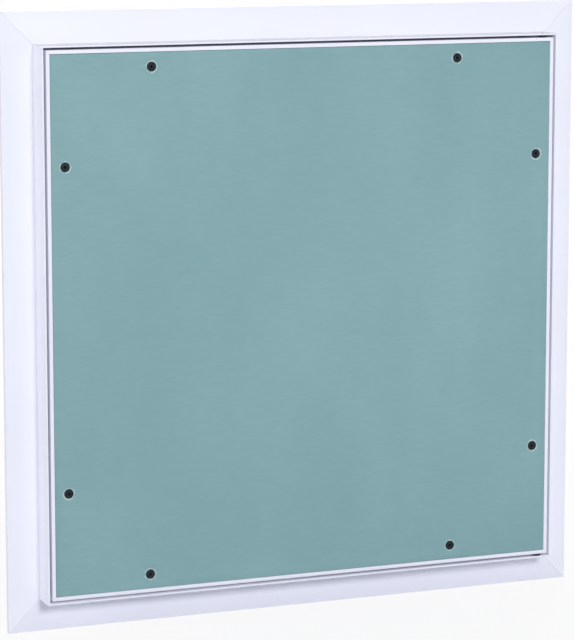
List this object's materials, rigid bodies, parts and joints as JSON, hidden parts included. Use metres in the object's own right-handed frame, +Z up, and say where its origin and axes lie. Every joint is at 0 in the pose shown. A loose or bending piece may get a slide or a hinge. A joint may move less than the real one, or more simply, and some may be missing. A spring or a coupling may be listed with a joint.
{
  "type": "ceiling access panel",
  "caption": "Square flanged access panel for ceilings and walls: white aluminium frame with a raised rim, and a pivoting push-to-open leaf with a green gypsum board.",
  "frame": {"origin": "centre of the opening, in the plane of the flange's front face, where the back of the ceiling board lies", "axes": "+Z up with the panel upright as displayed, +X to the right seen from the front, +Y from the front to the back; in a ceiling the front (-Y) faces down"},
  "size_m": [0.506, 0.058, 0.506],
  "materials": {
    "white_coat": "white powder coat",
    "green_board": "green paper face, matt",
    "black_screw": "black phosphate",
    "zinc_steel": "zinc plated",
    "bare_aluminium": "mill finish",
    "white_plastic": "satin",
    "black_plastic": "satin",
    "seal_foam": "closed-cell foam"
  },
  "bodies": {
    "frame": {"frame_top": "white_coat", "frame_bottom": "white_coat", "frame_left": "white_coat", "frame_right": "white_coat", "frame_corner_keys": "zinc_steel", "frame_key_rivets": "zinc_steel", "seal_top": "seal_foam", "seal_bottom": "seal_foam", "seal_left": "seal_foam", "pivot_pin_top": "black_screw", "pivot_pin_bottom": "black_screw", "latch_bracket_upper": "zinc_steel", "latch_bracket_lower": "zinc_steel", "latch_bracket_rivets": "zinc_steel", "latch_housing_upper": "white_plastic", "latch_housing_lower": "white_plastic", "latch_cap_upper": "white_plastic", "latch_cap_lower": "white_plastic", "latch_screws": "zinc_steel", "latch_spring_upper": "zinc_steel", "latch_spring_lower": "zinc_steel"},
    "leaf": {"leaf_top": "white_coat", "leaf_bottom": "white_coat", "leaf_left": "white_coat", "leaf_right": "white_coat", "leaf_corner_keys": "bare_aluminium", "gypsum_board": "green_board", "board_screws_top": "black_screw", "board_screws_bottom": "black_screw", "board_screws_left": "black_screw", "board_screws_right": "black_screw", "pivot_bush_top": "black_plastic", "pivot_bush_bottom": "black_plastic", "strike_plate_upper": "zinc_steel", "strike_plate_lower": "zinc_steel"},
    "plunger_upper": {"latch_plunger_upper": "white_plastic", "latch_magnet_upper": "zinc_steel"},
    "plunger_lower": {"latch_plunger_lower": "white_plastic", "latch_magnet_lower": "zinc_steel"}
  },
  "joints": [
    {"name": "leaf_pivot", "type": "hinge", "parent": "frame", "child": "leaf", "pos_m": [0.215, -0.02, 0], "axis": [0, 0, 1], "range_deg": [0, 120]},
    {"name": "plunger_upper_slide", "type": "slide", "parent": "frame", "child": "plunger_upper", "axis": [0, -1, 0], "range_m": [0, 0.008]},
    {"name": "plunger_lower_slide", "type": "slide", "parent": "frame", "child": "plunger_lower", "axis": [0, -1, 0], "range_m": [0, 0.008]}
  ],
  "couplings": [
    {"joint": "plunger_upper_slide", "follows": "leaf_pivot", "m_per_rad": 0.00381},
    {"joint": "plunger_lower_slide", "follows": "leaf_pivot", "m_per_rad": 0.00381}
  ]
}
